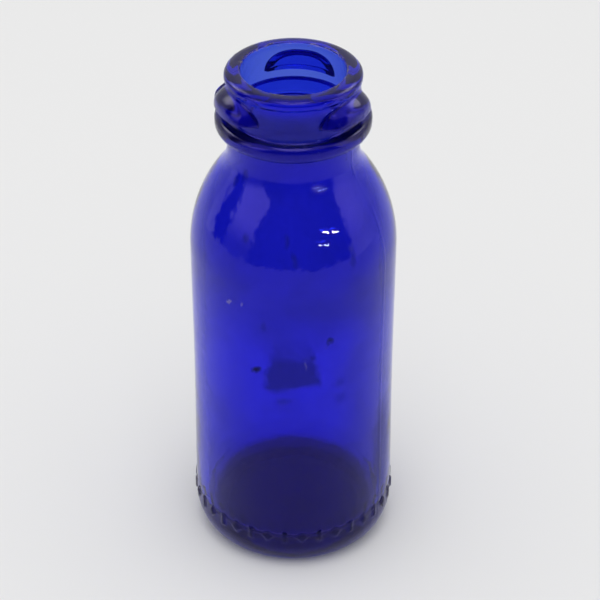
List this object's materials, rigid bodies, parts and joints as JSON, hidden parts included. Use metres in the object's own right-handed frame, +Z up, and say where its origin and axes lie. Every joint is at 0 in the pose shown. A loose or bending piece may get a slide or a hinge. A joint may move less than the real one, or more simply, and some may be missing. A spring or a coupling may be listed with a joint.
{
  "type": "glass medicine bottle",
  "caption": "Round-shouldered medicine bottle of deep blue moulded glass, with a wide open mouth, lugs for a quarter-turn cap and raised marks on the heel; stands on a flat ring.",
  "frame": {"origin": "middle of the ring that the bottle stands on, at the bottom of the part", "axes": "+Z up along the bottle's axis, out of the mouth; -Y towards the viewer of the picture, +X to the viewer's right"},
  "size_m": [0.0392, 0.0389, 0.101],
  "materials": {
    "blue_glass": "gloss, fire-polished moulded glass with light wear"
  },
  "bodies": {
    "root": {"base": "blue_glass", "heel_band": "blue_glass", "heel_marks": "blue_glass", "body_wall": "blue_glass", "shoulder": "blue_glass", "neck": "blue_glass", "transfer_bead": "blue_glass", "finish_wall": "blue_glass", "cap_lug_1": "blue_glass", "cap_lug_2": "blue_glass", "cap_lug_3": "blue_glass", "lip_ring": "blue_glass"}
  },
  "joints": []
}
